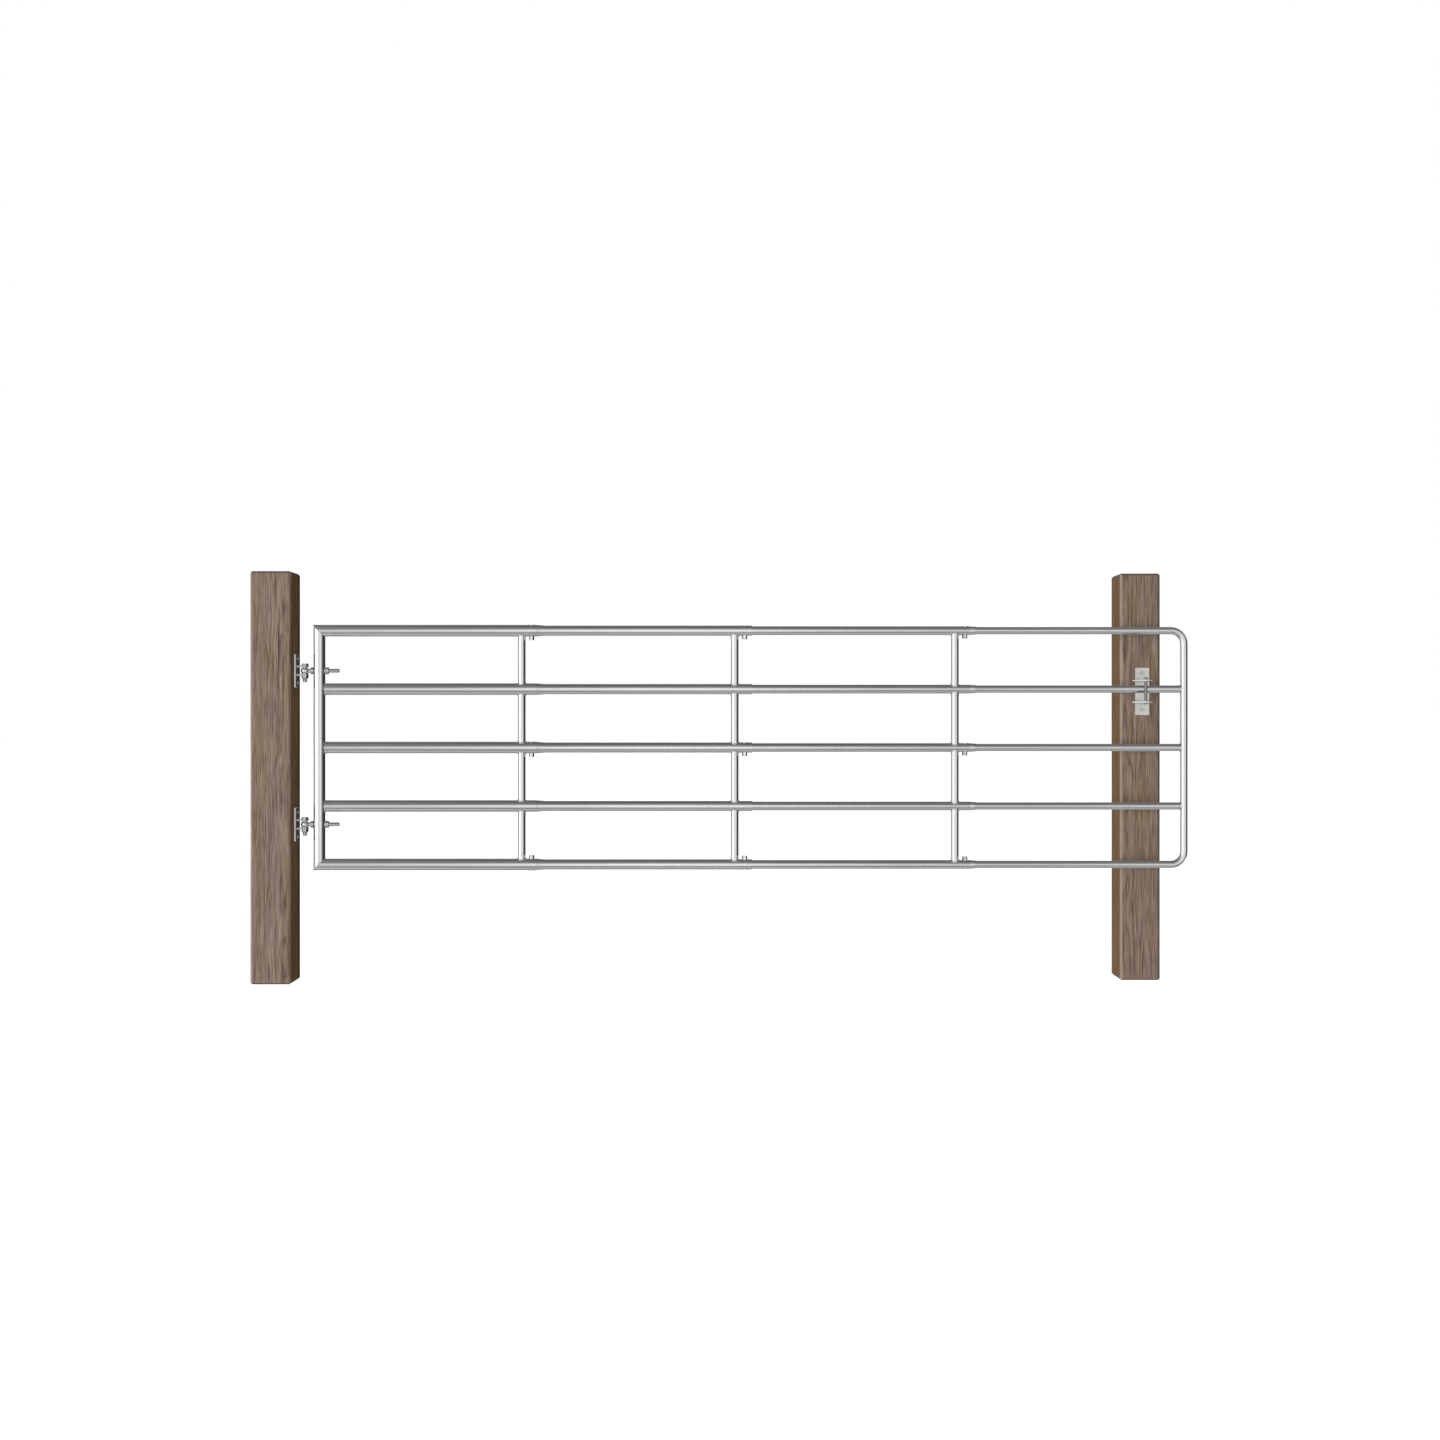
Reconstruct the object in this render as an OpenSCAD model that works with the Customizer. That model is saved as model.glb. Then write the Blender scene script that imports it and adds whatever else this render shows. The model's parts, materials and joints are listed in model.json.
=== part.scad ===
// Five-bar field gate of galvanised steel tube, hung between two square timber posts.
// Its leaf is four sections that slide one inside the next, held by lock screws.
// Millimetres. The origin is the middle of the hinge post's foot. X runs along the gate towards
// the latch post, Y away from the side that the gate opens to, and Z up.

/* [Posts] */
// Side of each square timber post
post_w = 148; // [110:1:160]
// Height of both posts
post_h = 1500; // [1400:10:2000]
// Width of the planed arris along a post's edges
post_arris = 7; // [2:1:15]
// Width of the planed arris round a post's ends
post_end_arris = 7; // [1:1:12]
// Clear opening between the posts
opening_w = 3030.5; // [2900:0.5:3100]
// From the gate's middle plane back to the front of the latch post
latch_post_set_back = 32; // [28:1:45]

/* [Leaf] */
// Overall height of the leaf
leaf_h = 900; // [800:10:1000]
// Height of the leaf above the ground
ground_gap = 408.5; // [300:0.5:450]
// From the hinge post to the nearest edge of the leaf
hang_gap = 65.5; // [63:0.5:90]
// How far the leaf runs on past the inner face of the latch post
leaf_lap = 239.5; // [225:0.5:300]
// From the leaf's hinge edge to the tube mouths of the first section
first_len = 842.5; // [600:0.5:950]
// Length of the second section that shows
second_out = 766; // [500:1:850]
// Length of the third section that shows
third_out = 822; // [500:1:850]
// Length of each sliding section that is hidden inside the one before it
overlap = 200; // [120:10:300]

/* [Tubes] */
// Outside diameter of the first section's tubes
tube_od = 43; // [40:0.5:50]
// Wall of every tube
tube_wall = 1.8; // [1.4:0.1:2.2]
// Space all round a tube inside the next larger one
slide_gap = 0.9; // [0.6:0.1:1.4]
// Space all round a tube at a swaged mouth, at a lock screw's tip and under an eye
run_gap = 0.3; // [0.2:0.05:0.5]
// Space left for the weld where one tube is shaped to sit on another
weld_gap = 0.1; // [0.05:0.05:0.3]
// How far a middle rail's square end is let in behind the side of the stile that it meets
butt_in = 1; // [0.5:0.1:3]
// Length of the cone that narrows a swaged mouth
swage_len = 18; // [8:1:30]
// Length of the straight lip at a swaged mouth
lip_len = 7; // [3:1:12]
// Radius of the end section's two bends, to the tube's middle
bend_r = 48; // [35:1:70]

/* [Braces and lock screws] */
// Outside diameter of the upright braces
brace_od = 28; // [20:1:31]
// From a brace to the swaged mouths of its section
brace_back = 79; // [75:1:110]
// From a brace to the plain mouths of the second section
plain_brace_back = 64; // [60:1:110]
// From a brace to the lock screws beside it
screw_from_brace = 36; // [32:1:38]
// Thread diameter of a lock screw
screw_d = 10; // [8:1:12]
// Width across the flats of a lock screw's head and nut
screw_af = 17; // [15:1:19]
// Height of a lock screw's head
screw_head_h = 6.4; // [5:0.2:8]
// Height that a lock screw's nut stands off its tube
screw_nut_h = 6.6; // [5:0.2:9]

/* [Hinges] */
// From the top and bottom rails in to the hinges
hinge_inset = 147; // [130:1:180]
// From the post to the middle of a hinge bolt
hinge_off = 34.4; // [33:0.2:37.4]
// Diameter of a hinge bolt
hinge_bolt_d = 14; // [12:1:16]
// Space all round a hinge bolt in its eye and ears
hinge_clear = 0.25; // [0.2:0.05:0.5]
// Height of a hinge plate
plate_h = 122; // [112:1:150]
// Width of a hinge plate
plate_w = 45; // [40:1:60]
// Thickness of a hinge plate
plate_t = 6; // [4:0.5:7]
// Thickness of a hinge ear
ear_t = 5.5; // [4:0.5:7]
// Space between the two ears of a hinge
ear_space = 25.5; // [24:0.5:30]
// Radius of an ear's round nose
ear_r = 13; // [12:0.5:15]
// Radius of the forged eye
eye_r = 15; // [14:0.5:17]
// Height of the forged eye
eye_h = 20; // [16:0.5:21]
// Diameter of an eye bolt's rod
rod_d = 14; // [12:1:16]
// Space all round an eye bolt's rod in the stile
rod_clear = 0.5; // [0.2:0.1:1]
// Length of an eye bolt from the middle of its eye
eye_bolt_len = 126; // [120:1:140]
// Width across the flats of the hinge and eye bolt nuts
nut_af = 22; // [21:1:26]
// Height of a plain nut
nut_h = 12.8; // [10:0.2:15]
// Height of the round collar on a stiff nut
collar_h = 4; // [3:0.5:6]
// Height of a hinge bolt's head
bolt_head_h = 8; // [6:0.5:10]
// Length of thread that shows below a hinge bolt's nut
bolt_tail = 11; // [6:1:16]
// How far the ends of bolts, rods and the drop pin are turned down
end_turn = 1.2; // [0.6:0.2:2]

/* [Latch] */
// From the middle of the latch post to the middle of the latch
latch_off = 6.5; // [0:0.5:12]
// Height of the latch's back plate
latch_plate_h = 174; // [152:1:190]
// Width of the latch's back plate
latch_plate_w = 51; // [40:1:60]
// Thickness of the latch's back plate
latch_plate_t = 5; // [4:0.5:6]
// Space between the latch's ears
latch_space = 75; // [65:1:90]
// How far the latch's middle lies below the middle of the second rail
latch_drop = 8; // [0:1:12]
// Thickness of a latch ear
latch_ear_t = 4.5; // [4:0.5:8]
// Width of a latch ear at the plate
latch_ear_w = 76; // [60:1:80]
// Radius of a latch ear's round nose
latch_nose_r = 13; // [11:0.5:15]
// Diameter of the drop pin
pin_d = 12; // [10:1:13]
// Space between the drop pin and the rail that it holds
pin_rail_gap = 5.6; // [5:0.1:9]
// Length of the drop pin above the upper ear
pin_above = 9; // [7:1:20]
// Length of the drop pin below the lower ear
pin_below = 6; // [4:1:12]
// How far the drop pin's collar stands out all round
pin_collar_w = 2; // [1:0.5:4]
// Height of the drop pin's collar
pin_collar_h = 3; // [2:0.5:5]

/* [Fixing screws] */
// Shank diameter of the screws that hold the hinge plates and the latch
coach_d = 8; // [6:1:10]
// Length of a fixing screw's shank
coach_len = 70; // [50:5:90]
// Width across the flats of a fixing screw's head
coach_af = 13; // [12:1:15]
// Height of a fixing screw's head
coach_head_h = 5.5; // [4:0.5:7]
// Space all round a fixing screw in its hole
coach_clear = 0.3; // [0.2:0.1:0.6]
// From the middle of a hinge plate to its fixing screws
coach_spread = 44; // [38:1:46]
// From the middle of the latch plate to its fixing screws
latch_screw_spread = 67; // [60:1:68]

/* [Hidden] */
$fn = 64;

// Colours as the finished gate shows them
steel = [0.80, 0.81, 0.82];
timber = [0.52, 0.46, 0.40];

// How far a cut runs past what it cuts
past = 1;

// How fast a hexagon head's turned corners run in, for each millimetre of height
corner_slope = 1.6;

// Radius of a stiff nut's collar at its foot and at its top, as a share of the width across flats
collar_foot = 0.47;
collar_top = 0.38;

// Counts that the names in NODES fix
RAILS = 5;
SECTIONS = 4;

// Section number of each part of the leaf
FIRST = 0;
SECOND = 1;
THIRD = 2;
END = 3;

// The rails that carry lock screws, and the side that each screw comes from
SCREW_RAILS = [[0, -1], [2, -1], [4, 1]];

// Tubes: outside and bore diameter of each section
od = [for (s = [0:SECTIONS - 1]) tube_od - s * 2 * (tube_wall + slide_gap)];
bore = [for (d = od) d - 2 * tube_wall];

// Along the gate
leaf_x = post_w / 2 + hang_gap;
stile_x = leaf_x + tube_od / 2;
latch_post_x = post_w + opening_w;
leaf_end_x = post_w / 2 + opening_w + leaf_lap;
end_stile_x = leaf_end_x - od[END] / 2;
mouth_x = [
    leaf_x + first_len,
    leaf_x + first_len + second_out,
    leaf_x + first_len + second_out + third_out
];
tail_x = [stile_x, mouth_x[FIRST] - overlap, mouth_x[SECOND] - overlap, mouth_x[THIRD] - overlap];
brace_x = [mouth_x[FIRST] - brace_back, mouth_x[SECOND] - plain_brace_back, mouth_x[THIRD] - brace_back];
screw_x = [for (x = brace_x) x + screw_from_brace];

// Up the gate, the top rail first
rail_pitch = (leaf_h - tube_od) / (RAILS - 1);
rail_z = [for (i = [0:RAILS - 1]) ground_gap + leaf_h - tube_od / 2 - i * rail_pitch];
eye_z = [rail_z[0] - hinge_inset, rail_z[RAILS - 1] + hinge_inset];

// Hinges
plate_x = post_w / 2;
hinge_x = plate_x + hinge_off;
washer_h = (ear_space - eye_h) / 2 - run_gap;
washer_r = ear_r;
eye_hole_r = hinge_bolt_d / 2 + hinge_clear;

// Latch
latch_x = latch_post_x + latch_off;
latch_z = rail_z[1] - latch_drop;
latch_face_y = latch_post_set_back - latch_plate_t;
pin_y = -(od[END] / 2 + pin_rail_gap + pin_d / 2);
pin_top_z = latch_z + latch_space / 2 + latch_ear_t + pin_above;
pin_foot_z = latch_z - latch_space / 2 - latch_ear_t - pin_below;

// A flat outline of w by h with its corners cut off at 45 degrees
module chamfered(w, h, cut) {
    polygon([
        [-w / 2 + cut, -h / 2], [w / 2 - cut, -h / 2], [w / 2, -h / 2 + cut], [w / 2, h / 2 - cut],
        [w / 2 - cut, h / 2], [-w / 2 + cut, h / 2], [-w / 2, h / 2 - cut], [-w / 2, -h / 2 + cut]
    ]);
}

// A square timber with planed edges and ends, standing on the ground
module timber_post() {
    intersection() {
        linear_extrude(post_h) chamfered(post_w, post_w, post_arris);
        translate([0, post_w / 2, post_h / 2]) rotate([90, 0, 0])
            linear_extrude(post_w) chamfered(post_w, post_h, post_end_arris);
        translate([-post_w / 2, 0, post_h / 2]) rotate([90, 0, 90])
            linear_extrude(post_w) chamfered(post_w, post_h, post_end_arris);
    }
}

// A round bar along X from x0 to x1
module bar_x(x0, x1, d) {
    translate([x0, 0, 0]) rotate([0, 90, 0]) cylinder(d = d, h = x1 - x0);
}

// A round bar up from Z = 0 whose top end is turned to a small cone
module turned_bar(d, h) {
    cylinder(d = d, h = h - end_turn);
    translate([0, 0, h - end_turn]) cylinder(d1 = d, d2 = d - 2 * end_turn, h = end_turn);
}

// A hexagonal bar along Z with its flats af apart
module hex_bar(af, h) {
    cylinder(d = af / cos(30), h = h, $fn = 6);
}

// A hexagon head whose top edge is turned to a cone
module hex_head(af, h) {
    intersection() {
        hex_bar(af, h);
        cylinder(r1 = af / 2 + h * corner_slope, r2 = af / 2, h = h);
    }
}

// A stiff nut: hexagon, then the round collar that grips the thread
module stiff_nut(af, h, collar) {
    hex_bar(af, h);
    translate([0, 0, h]) cylinder(r1 = af * collar_foot, r2 = af * collar_top, h = collar);
}

// The fixing screws' places on the hinge post, as heights
coach_z = [for (z = eye_z, side = [-1, 1]) z + side * coach_spread];
latch_screw_z = [for (side = [-1, 1]) latch_z + side * latch_screw_spread];

// The hole of one fixing screw, from its seat inwards along -Z
module coach_hole(plate) {
    translate([0, 0, -coach_len - past]) cylinder(d = coach_d + 2 * coach_clear, h = coach_len + plate + 2 * past);
}

// One fixing screw, seated on a plate whose face is at Z = 0
module coach_screw() {
    hex_head(coach_af, coach_head_h);
    translate([0, 0, -coach_len]) cylinder(d = coach_d, h = coach_len);
}

module hinge_post() {
    color(timber) difference() {
        timber_post();
        for (z = coach_z) translate([plate_x, 0, z]) rotate([0, 90, 0]) coach_hole(plate_t);
    }
}

module latch_post() {
    color(timber) translate([latch_post_x, latch_post_set_back + post_w / 2, 0]) difference() {
        timber_post();
        for (z = latch_screw_z) translate([latch_off, -post_w / 2, z]) rotate([90, 0, 0]) coach_hole(latch_plate_t);
    }
}

// A back plate with two ears that carry the hinge bolt
module hinge_bracket(z) {
    color(steel) translate([0, 0, z]) difference() {
        union() {
            translate([plate_x, -plate_w / 2, -plate_h / 2]) cube([plate_t, plate_w, plate_h]);
            for (low = [ear_space / 2, -ear_space / 2 - ear_t]) translate([0, 0, low]) {
                translate([plate_x, -ear_r, 0]) cube([hinge_off, 2 * ear_r, ear_t]);
                translate([hinge_x, 0, 0]) cylinder(r = ear_r, h = ear_t);
            }
        }
        translate([hinge_x, 0, -ear_space / 2 - ear_t - past])
            cylinder(r = eye_hole_r, h = ear_space + 2 * ear_t + 2 * past);
        for (side = [-1, 1]) translate([plate_x, 0, side * coach_spread]) rotate([0, 90, 0]) coach_hole(plate_t);
    }
}

// The bolt of one hinge with its head, nut and the washer that the eye turns on
module hinge_bolt(z) {
    reach = ear_space / 2 + ear_t;
    color(steel) translate([hinge_x, 0, z]) {
        translate([0, 0, reach]) hex_head(nut_af, bolt_head_h);
        mirror([0, 0, 1]) translate([0, 0, reach]) stiff_nut(nut_af, nut_h - collar_h, collar_h);
        translate([0, 0, reach + past]) mirror([0, 0, 1])
            turned_bar(hinge_bolt_d, 2 * reach + nut_h + bolt_tail + past);
        translate([0, 0, -ear_space / 2]) cylinder(r = washer_r, h = washer_h);
    }
}

module hinge_plate_screws() {
    color(steel) for (z = coach_z)
        translate([plate_x + plate_t, 0, z]) rotate([0, 90, 0]) coach_screw();
}

// The outline of a latch ear, seen from above with the plate at Y = 0
module latch_ear() {
    reach = latch_face_y - pin_y;
    polygon([
        [-latch_ear_w / 2, 0], [-latch_nose_r, -reach], [latch_nose_r, -reach], [latch_ear_w / 2, 0]
    ]);
    translate([0, -reach]) circle(r = latch_nose_r);
}

// The latch: a plate on the post and two ears that the drop pin passes through
module latch_bracket() {
    color(steel) translate([latch_x, latch_face_y, latch_z]) difference() {
        union() {
            translate([-latch_plate_w / 2, 0, -latch_plate_h / 2])
                cube([latch_plate_w, latch_plate_t, latch_plate_h]);
            for (low = [latch_space / 2, -latch_space / 2 - latch_ear_t])
                translate([0, 0, low]) linear_extrude(latch_ear_t) latch_ear();
        }
        translate([0, pin_y - latch_face_y, -latch_space / 2 - latch_ear_t - past])
            cylinder(r = pin_d / 2 + hinge_clear, h = latch_space + 2 * latch_ear_t + 2 * past);
        for (side = [-1, 1]) translate([0, latch_plate_t, side * latch_screw_spread])
            rotate([90, 0, 0]) coach_hole(latch_plate_t);
    }
}

module latch_plate_screws() {
    color(steel) for (z = latch_screw_z)
        translate([latch_x, latch_face_y, z]) rotate([90, 0, 0]) coach_screw();
}

// The drop pin, with the collar that it hangs by
module latch_pin() {
    color(steel) translate([latch_x, pin_y, 0]) {
        translate([0, 0, latch_z]) turned_bar(pin_d, pin_top_z - latch_z);
        translate([0, 0, latch_z]) mirror([0, 0, 1]) turned_bar(pin_d, latch_z - pin_foot_z);
        translate([0, 0, pin_top_z - pin_above + run_gap]) cylinder(d = pin_d + 2 * pin_collar_w, h = pin_collar_h);
    }
}

// Everything on the hinge side of the mitre between the stile and the top or bottom rail
module behind_mitre(i, at_x) {
    big = 2 * leaf_h;
    translate([at_x, 0, rail_z[i]]) rotate([0, i == 0 ? -45 : 45, 0])
        translate([-big, -big / 2, -big / 2]) cube(big);
}

module heel_stile() {
    color(steel) intersection() {
        difference() {
            translate([stile_x, 0, ground_gap]) difference() {
                cylinder(d = od[FIRST], h = leaf_h);
                translate([0, 0, -past]) cylinder(d = bore[FIRST], h = leaf_h + 2 * past);
            }
            for (z = eye_z) translate([0, 0, z]) bar_x(leaf_x - past, leaf_x + tube_od + past, rod_d + 2 * rod_clear);
        }
        behind_mitre(0, stile_x);
        behind_mitre(RAILS - 1, stile_x);
    }
}

// One straight rail of section s with a plain mouth
module plain_tube(s, x1) {
    difference() {
        bar_x(tail_x[s], x1, od[s]);
        bar_x(tail_x[s] - past, x1 + past, bore[s]);
    }
}

// One straight rail of section s whose mouth is swaged in to guide the next section
module swaged_tube(s) {
    r = od[s] / 2;
    bore_r = bore[s] / 2;
    lip_bore_r = od[s + 1] / 2 + run_gap;
    lip_r = lip_bore_r + tube_wall / 2;
    len = mouth_x[s] - tail_x[s];
    cone_x = len - lip_len - swage_len;
    translate([tail_x[s], 0, 0]) rotate([0, 90, 0]) rotate_extrude() polygon([
        [bore_r, 0], [r, 0], [r, cone_x], [lip_r, len - lip_len], [lip_r, len],
        [lip_bore_r, len], [lip_bore_r, len - lip_len], [bore_r, cone_x]
    ]);
}

// The holes in rail i of section s that its lock screw passes through
module lock_screw_hole(s, i) {
    for (pair = SCREW_RAILS) if (pair[0] == i)
        translate([screw_x[s], 0, 0]) mirror([0, 0, pair[1] < 0 ? 1 : 0])
            cylinder(d = screw_d + 2 * run_gap, h = tube_od);
}

// Rail i of section s, counted from the top, with both ends open
module rail(s, i) {
    color(steel) translate([0, 0, rail_z[i]]) difference() {
        if (s == SECOND) plain_tube(s, mouth_x[s]);
        else swaged_tube(s);
        lock_screw_hole(s, i);
    }
}

// The cap inside a middle rail's square end at x, before it is shaped to the stile
module rail_cap(s, x) {
    bar_x(x - tube_wall, x + tube_wall, bore[s] + tube_wall);
}

// Everything at a stile that a middle rail of section s gives way to, on one side of the plane at x
module stile_room(s, at_x, x, side) {
    translate([at_x, 0, ground_gap]) cylinder(d = od[s] + 2 * weld_gap, h = leaf_h);
    translate([side < 0 ? x - tube_od : x, -tube_od, ground_gap]) cube([tube_od, 2 * tube_od, leaf_h]);
}

// Rail i of the first section, cut square and closed where it meets the heel stile
module heel_rail(i) {
    x = stile_x + od[FIRST] / 2 - butt_in;
    color(steel) difference() {
        translate([0, 0, rail_z[i]]) {
            difference() {
                swaged_tube(FIRST);
                lock_screw_hole(FIRST, i);
            }
            rail_cap(FIRST, x);
        }
        stile_room(FIRST, stile_x, x, -1);
    }
}

// Rail i of the end section, cut square and closed where it meets the end stile
module end_rail(i) {
    x = end_stile_x - od[END] / 2 + butt_in;
    color(steel) difference() {
        translate([0, 0, rail_z[i]]) {
            plain_tube(END, end_stile_x);
            rail_cap(END, x);
        }
        stile_room(END, end_stile_x, x, 1);
    }
}

// The top or bottom rail of the first section, cut to its mitre with the stile
module mitred_rail(i) {
    color(steel) difference() {
        translate([0, 0, rail_z[i]]) {
            difference() {
                swaged_tube(FIRST);
                lock_screw_hole(FIRST, i);
            }
            difference() {
                bar_x(leaf_x, stile_x, od[FIRST]);
                bar_x(leaf_x - past, stile_x + past, bore[FIRST]);
            }
        }
        behind_mitre(i, stile_x + weld_gap);
    }
}

// The upright brace of section s: four lengths of tube, each shaped to sit between two rails
module brace(s) {
    color(steel) for (i = [0:RAILS - 2]) difference() {
        translate([brace_x[s], 0, rail_z[i + 1]]) difference() {
            cylinder(d = brace_od, h = rail_pitch);
            translate([0, 0, -past]) cylinder(d = brace_od - 2 * tube_wall, h = rail_pitch + 2 * past);
        }
        for (z = [rail_z[i], rail_z[i + 1]]) translate([0, 0, z])
            bar_x(brace_x[s] - brace_od, brace_x[s] + brace_od, od[s] + 2 * weld_gap);
    }
}

// The lock screws of section s: a nut shaped to sit on the rail and a screw that bears on the tube inside
module lock_screws(s) {
    tip = od[s + 1] / 2 + run_gap;
    seat = od[s] / 2;
    color(steel) for (pair = SCREW_RAILS)
        translate([screw_x[s], 0, rail_z[pair[0]]]) mirror([0, 0, pair[1] < 0 ? 1 : 0]) {
            difference() {
                hex_bar(screw_af, seat + screw_nut_h);
                bar_x(-screw_af, screw_af, od[s] + 2 * weld_gap);
            }
            translate([0, 0, seat + screw_nut_h]) hex_head(screw_af, screw_head_h);
            translate([0, 0, seat + screw_nut_h + past]) mirror([0, 0, 1])
                turned_bar(screw_d, seat + screw_nut_h + past - tip);
        }
}

// An eye bolt: a forged eye that turns on the hinge bolt, and the rod that passes through the stile
module eye_bolt(z) {
    color(steel) translate([hinge_x, 0, z]) difference() {
        union() {
            intersection() {
                sphere(r = eye_r);
                translate([0, 0, -eye_h / 2]) cylinder(r = eye_r + past, h = eye_h);
            }
            rotate([0, 90, 0]) turned_bar(rod_d, eye_bolt_len);
        }
        translate([0, 0, -eye_h / 2 - past]) cylinder(r = eye_hole_r, h = eye_h + 2 * past);
    }
}

// The nuts that clamp both eye bolts to the stile, a stiff one outside and a plain one inside
module eye_bolt_nuts() {
    color(steel) for (z = eye_z) translate([stile_x, 0, z]) difference() {
        union() {
            translate([-tube_od / 2 - weld_gap, 0, 0]) rotate([0, -90, 0])
                stiff_nut(nut_af, nut_h - collar_h, collar_h);
            translate([tube_od / 2 + weld_gap, 0, 0]) rotate([0, 90, 0]) hex_bar(nut_af, nut_h);
        }
        bar_x(-tube_od, tube_od, rod_d + 2 * weld_gap);
    }
}

// The end section's bent tube at a given diameter, longer at its open ends by more
module loop_path(d, more) {
    top = rail_z[0];
    bottom = rail_z[RAILS - 1];
    bend_x = end_stile_x - bend_r;
    for (z = [top, bottom]) translate([0, 0, z]) bar_x(tail_x[END] - more, bend_x, d);
    translate([bend_x, 0, top - bend_r]) rotate([90, 0, 0])
        rotate_extrude(angle = 90) translate([bend_r, 0]) circle(d = d);
    translate([bend_x, 0, bottom + bend_r]) rotate([-90, 0, 0])
        rotate_extrude(angle = 90) translate([bend_r, 0]) circle(d = d);
    translate([end_stile_x, 0, bottom + bend_r]) cylinder(d = d, h = top - bottom - 2 * bend_r);
}

module end_loop() {
    color(steel) difference() {
        loop_path(od[END], 0);
        loop_path(bore[END], past);
    }
}

hinge_post();
latch_post();
hinge_bracket(eye_z[0]);  // upper_hinge_bracket
hinge_bracket(eye_z[1]);  // lower_hinge_bracket
hinge_bolt(eye_z[0]);  // upper_hinge_bolt
hinge_bolt(eye_z[1]);  // lower_hinge_bolt
hinge_plate_screws();
latch_bracket();
latch_plate_screws();
latch_pin();
heel_stile();
mitred_rail(0);  // first_top_rail
heel_rail(1);  // first_rail_2
heel_rail(2);  // first_rail_3
heel_rail(3);  // first_rail_4
mitred_rail(4);  // first_bottom_rail
brace(FIRST);  // first_brace
lock_screws(FIRST);  // first_lock_screws
eye_bolt(eye_z[0]);  // upper_eye_bolt
eye_bolt(eye_z[1]);  // lower_eye_bolt
eye_bolt_nuts();
rail(SECOND, 0);  // second_top_rail
rail(SECOND, 1);  // second_rail_2
rail(SECOND, 2);  // second_rail_3
rail(SECOND, 3);  // second_rail_4
rail(SECOND, 4);  // second_bottom_rail
brace(SECOND);  // second_brace
lock_screws(SECOND);  // second_lock_screws
rail(THIRD, 0);  // third_top_rail
rail(THIRD, 1);  // third_rail_2
rail(THIRD, 2);  // third_rail_3
rail(THIRD, 3);  // third_rail_4
rail(THIRD, 4);  // third_bottom_rail
brace(THIRD);  // third_brace
lock_screws(THIRD);  // third_lock_screws
end_loop();
end_rail(1);  // end_rail_2
end_rail(2);  // end_rail_3
end_rail(3);  // end_rail_4
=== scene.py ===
# %% [markdown]
# # A five-bar field gate of galvanised tube
# The gate's leaf is made of four sections that slide one inside the next, so one gate fits openings of
# many widths. It hangs by two eye bolts on a square timber post, and a drop pin on a second post holds it
# shut. The solids come from a CAD model, which fixes every size and place. This lesson gives them the
# finish of the real thing: zinc on the tubes, welds where they join, threads on the bolts, and weathered
# grain on the posts.

# %% The frame
import json
import math
import random

import bpy
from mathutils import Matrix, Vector


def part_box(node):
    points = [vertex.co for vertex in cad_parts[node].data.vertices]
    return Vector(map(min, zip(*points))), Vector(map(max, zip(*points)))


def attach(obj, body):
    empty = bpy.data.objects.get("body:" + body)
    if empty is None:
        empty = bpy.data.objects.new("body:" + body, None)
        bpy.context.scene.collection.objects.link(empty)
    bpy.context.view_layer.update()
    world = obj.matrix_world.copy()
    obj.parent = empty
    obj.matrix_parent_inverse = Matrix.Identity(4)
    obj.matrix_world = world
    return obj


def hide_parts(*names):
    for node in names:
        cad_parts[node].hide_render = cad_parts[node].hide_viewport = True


MM = 0.001

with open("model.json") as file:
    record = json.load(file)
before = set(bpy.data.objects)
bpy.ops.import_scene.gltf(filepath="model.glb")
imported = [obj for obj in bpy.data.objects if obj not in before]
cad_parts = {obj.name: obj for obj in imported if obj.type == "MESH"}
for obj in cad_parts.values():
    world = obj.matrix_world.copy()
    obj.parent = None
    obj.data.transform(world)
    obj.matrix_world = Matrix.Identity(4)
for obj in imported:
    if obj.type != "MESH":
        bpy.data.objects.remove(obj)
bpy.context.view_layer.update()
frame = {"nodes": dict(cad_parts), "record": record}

# %% [markdown]
# ## The camera
# The picture to match was taken square on to the leaf, with the camera level and a little above the middle
# rail. Its view is 45 degrees wide on a square frame, which on a 36 mm sensor is a lens of about 43 mm. A
# level camera keeps the posts' edges upright, so no shift is needed.

# %% Camera
VIEW_ANGLE = math.radians(45)
CAMERA_AT = Vector((1.630, -6.374, 0.9595))

camera_data = bpy.data.cameras.new("camera")
camera_data.sensor_width = 36
camera_data.sensor_fit = "HORIZONTAL"
camera_data.lens = camera_data.sensor_width / 2 / math.tan(VIEW_ANGLE / 2)
camera = bpy.data.objects.new("camera", camera_data)
camera.location = CAMERA_AT
camera.rotation_euler = (math.radians(90), 0, 0)
bpy.context.scene.collection.objects.link(camera)
bpy.context.scene.camera = camera
print("lens", round(camera_data.lens, 2), "mm")

# %% [markdown]
# ## Small helpers
# Colours are chosen as a screen shows them, in sRGB hex, but a shader works in linear light, so one function
# turns the first into the second. A second one adds a node to any node tree, sets it up and links it. The
# others are short names for the nodes that come back most: maths, a mix, a noise and a colour ramp. They
# keep each material and each geometry tree to a few readable lines.


# %% Helpers for nodes
def linear(hex_colour):
    """An sRGB colour such as "8a8d8f" as linear red, green, blue and alpha."""
    channels = [int(hex_colour[i:i + 2], 16) / 255 for i in (0, 2, 4)]
    return [c / 12.92 if c <= 0.04045 else ((c + 0.055) / 1.055) ** 2.4 for c in channels] + [1.0]


def add(tree, kind, inputs=None, **settings):
    """Adds a node of a kind to a tree, with its settings, its input values and its links."""
    made = tree.nodes.new(kind)
    for name, value in settings.items():
        setattr(made, name, value)
    for socket, value in (inputs or {}).items():
        if isinstance(value, bpy.types.NodeSocket):
            tree.links.new(value, made.inputs[socket])
        else:
            made.inputs[socket].default_value = value
    return made


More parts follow.
